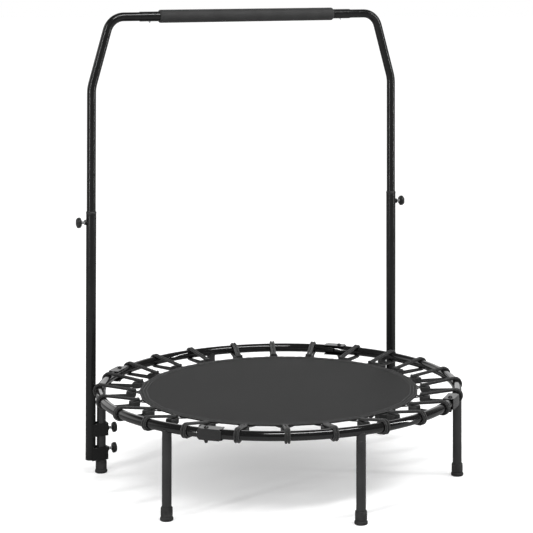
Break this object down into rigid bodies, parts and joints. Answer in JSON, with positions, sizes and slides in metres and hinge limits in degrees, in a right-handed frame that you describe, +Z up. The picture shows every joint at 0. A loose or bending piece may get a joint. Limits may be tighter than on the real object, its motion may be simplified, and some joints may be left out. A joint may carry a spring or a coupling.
{
  "type": "mini trampoline",
  "caption": "Round bungee-cord fitness trampoline on short rubber-footed legs, with a height-adjustable handle bar clamped to the frame.",
  "frame": {"origin": "centre of the round rim, on the floor under the feet", "axes": "+Z up, +Y towards the handle side, +X along the handle bar to the right of someone facing the handle from the mat"},
  "size_m": [1.032, 1.0256, 1.286],
  "materials": {
    "rim_paint": "gloss black powder coat",
    "bracket_paint": "satin black powder coat",
    "leg_paint": "satin black powder coat",
    "handle_paint": "satin black powder coat",
    "black_hardware": "black zinc, satin",
    "zinc": "bright zinc plate",
    "rubber_foot": "matte moulded rubber",
    "mat_fabric": "fine woven polypropylene",
    "webbing": "woven webbing",
    "hook_plastic": "matte moulded plastic",
    "elastic_cord": "braided sleeve over elastic",
    "cap_plastic": "matte moulded plastic",
    "knob_plastic": "satin moulded plastic",
    "foam": "matte closed-cell foam"
  },
  "bodies": {
    "frame": {"rim_section_right": "rim_paint", "rim_section_back": "rim_paint", "rim_section_left": "rim_paint", "rim_section_front": "rim_paint", "bracket_back_right": "bracket_paint", "bracket_back_left": "bracket_paint", "bracket_front_left": "bracket_paint", "bracket_front_right": "bracket_paint", "rim_joint_bolts": "black_hardware", "rim_joint_nuts": "black_hardware", "leg_sockets": "leg_paint", "leg_studs": "zinc", "bungee_cords": "elastic_cord", "post_left": "handle_paint", "post_right": "handle_paint", "post_cap_left": "cap_plastic", "post_cap_right": "cap_plastic", "ferrule_left": "cap_plastic", "ferrule_right": "cap_plastic", "clamp_lower_left": "leg_paint", "clamp_upper_left": "leg_paint", "clamp_lower_right": "leg_paint", "clamp_upper_right": "leg_paint"},
    "mat": {"mat_bed": "mat_fabric", "mat_border": "webbing", "mat_straps": "webbing", "bungee_hooks": "hook_plastic"},
    "handle": {"side_tube_left": "handle_paint", "side_tube_right": "handle_paint", "crossbar": "handle_paint", "foam_grip": "foam", "snap_spring_left": "zinc", "snap_spring_right": "zinc"},
    "left_snap": {"snap_button_left": "zinc"},
    "right_snap": {"snap_button_right": "zinc"},
    "back_leg": {"leg_back": "leg_paint", "foot_back": "rubber_foot"},
    "handle_right_leg": {"leg_handle_right": "leg_paint", "foot_handle_right": "rubber_foot"},
    "handle_left_leg": {"leg_handle_left": "leg_paint", "foot_handle_left": "rubber_foot"},
    "side_left_leg": {"leg_side_left": "leg_paint", "foot_side_left": "rubber_foot"},
    "side_right_leg": {"leg_side_right": "leg_paint", "foot_side_right": "rubber_foot"},
    "front_leg": {"leg_front": "leg_paint", "foot_front": "rubber_foot"},
    "left_height_screw": {"height_screw_left": "zinc"},
    "left_height_knob": {"height_knob_left": "knob_plastic"},
    "left_lower_clamp_screw": {"clamp_screw_lower_left": "zinc"},
    "left_lower_clamp_knob": {"clamp_knob_lower_left": "knob_plastic"},
    "left_upper_clamp_screw": {"clamp_screw_upper_left": "zinc"},
    "left_upper_clamp_knob": {"clamp_knob_upper_left": "knob_plastic"},
    "right_height_screw": {"height_screw_right": "zinc"},
    "right_height_knob": {"height_knob_right": "knob_plastic"},
    "right_lower_clamp_screw": {"clamp_screw_lower_right": "zinc"},
    "right_lower_clamp_knob": {"clamp_knob_lower_right": "knob_plastic"},
    "right_upper_clamp_screw": {"clamp_screw_upper_right": "zinc"},
    "right_upper_clamp_knob": {"clamp_knob_upper_right": "knob_plastic"}
  },
  "joints": [
    {"name": "handle_height", "type": "slide", "parent": "frame", "child": "handle", "axis": [0, 0, 1], "range_m": [-0.25, 0.05]},
    {"name": "mat_bounce", "type": "slide", "parent": "frame", "child": "mat", "axis": [0, 0, 1], "range_m": [-0.12, 0], "stiffness_N_per_m": 8000, "deforming": ["bungee_cords"]},
    {"name": "left_snap_press", "type": "slide", "parent": "handle", "child": "left_snap", "axis": [0, 0, 1], "range_m": [0, 0.005], "stiffness_N_per_m": 600, "deforming": ["snap_spring_left"]},
    {"name": "right_snap_press", "type": "slide", "parent": "handle", "child": "right_snap", "axis": [0, 0, 1], "range_m": [0, 0.005], "stiffness_N_per_m": 600, "deforming": ["snap_spring_right"]},
    {"name": "back_leg_turn", "type": "hinge", "parent": "frame", "child": "back_leg", "pos_m": [0, 0.4955, 0.212], "axis": [0, 0, 1], "range_deg": [-360, 0]},
    {"name": "handle_right_leg_turn", "type": "hinge", "parent": "frame", "child": "handle_right_leg", "pos_m": [0.44344, 0.22109, 0.212], "axis": [0, 0, 1], "range_deg": [-360, 0]},
    {"name": "handle_left_leg_turn", "type": "hinge", "parent": "frame", "child": "handle_left_leg", "pos_m": [-0.44344, 0.22109, 0.212], "axis": [0, 0, 1], "range_deg": [-360, 0]},
    {"name": "side_left_leg_turn", "type": "hinge", "parent": "frame", "child": "side_left_leg", "pos_m": [-0.42912, -0.24775, 0.212], "axis": [0, 0, 1], "range_deg": [-360, 0]},
    {"name": "side_right_leg_turn", "type": "hinge", "parent": "frame", "child": "side_right_leg", "pos_m": [0.42912, -0.24775, 0.212], "axis": [0, 0, 1], "range_deg": [-360, 0]},
    {"name": "front_leg_turn", "type": "hinge", "parent": "frame", "child": "front_leg", "pos_m": [0, -0.4955, 0.212], "axis": [0, 0, 1], "range_deg": [-360, 0]},
    {"name": "left_height_travel", "type": "slide", "parent": "frame", "child": "left_height_screw", "axis": [-1, 0, 0], "range_m": [0, 0.00125]},
    {"name": "left_height_turn", "type": "hinge", "parent": "left_height_screw", "child": "left_height_knob", "pos_m": [-0.5045, 0.22109, 0.697], "axis": [-1, 0, 0], "range_deg": [0, 360]},
    {"name": "left_lower_clamp_travel", "type": "slide", "parent": "frame", "child": "left_lower_clamp_screw", "axis": [1, 0, 0], "range_m": [0, 0.00125]},
    {"name": "left_lower_clamp_turn", "type": "hinge", "parent": "left_lower_clamp_screw", "child": "left_lower_clamp_knob", "pos_m": [-0.40844, 0.22109, 0.064], "axis": [1, 0, 0], "range_deg": [0, 360]},
    {"name": "left_upper_clamp_travel", "type": "slide", "parent": "frame", "child": "left_upper_clamp_screw", "axis": [1, 0, 0], "range_m": [0, 0.00125]},
    {"name": "left_upper_clamp_turn", "type": "hinge", "parent": "left_upper_clamp_screw", "child": "left_upper_clamp_knob", "pos_m": [-0.40844, 0.22109, 0.121], "axis": [1, 0, 0], "range_deg": [0, 360]},
    {"name": "right_height_travel", "type": "slide", "parent": "frame", "child": "right_height_screw", "axis": [1, 0, 0], "range_m": [0, 0.00125]},
    {"name": "right_height_turn", "type": "hinge", "parent": "right_height_screw", "child": "right_height_knob", "pos_m": [0.5045, 0.22109, 0.697], "axis": [1, 0, 0], "range_deg": [0, 360]},
    {"name": "right_lower_clamp_travel", "type": "slide", "parent": "frame", "child": "right_lower_clamp_screw", "axis": [-1, 0, 0], "range_m": [0, 0.00125]},
    {"name": "right_lower_clamp_turn", "type": "hinge", "parent": "right_lower_clamp_screw", "child": "right_lower_clamp_knob", "pos_m": [0.40844, 0.22109, 0.064], "axis": [-1, 0, 0], "range_deg": [0, 360]},
    {"name": "right_upper_clamp_travel", "type": "slide", "parent": "frame", "child": "right_upper_clamp_screw", "axis": [-1, 0, 0], "range_m": [0, 0.00125]},
    {"name": "right_upper_clamp_turn", "type": "hinge", "parent": "right_upper_clamp_screw", "child": "right_upper_clamp_knob", "pos_m": [0.40844, 0.22109, 0.121], "axis": [-1, 0, 0], "range_deg": [0, 360]}
  ],
  "couplings": [
    {"joint": "left_height_turn", "follows": "left_height_travel", "rad_per_m": 5026.5},
    {"joint": "left_lower_clamp_turn", "follows": "left_lower_clamp_travel", "rad_per_m": 5026.5},
    {"joint": "left_upper_clamp_turn", "follows": "left_upper_clamp_travel", "rad_per_m": 5026.5},
    {"joint": "right_height_turn", "follows": "right_height_travel", "rad_per_m": 5026.5},
    {"joint": "right_lower_clamp_turn", "follows": "right_lower_clamp_travel", "rad_per_m": 5026.5},
    {"joint": "right_upper_clamp_turn", "follows": "right_upper_clamp_travel", "rad_per_m": 5026.5}
  ]
}
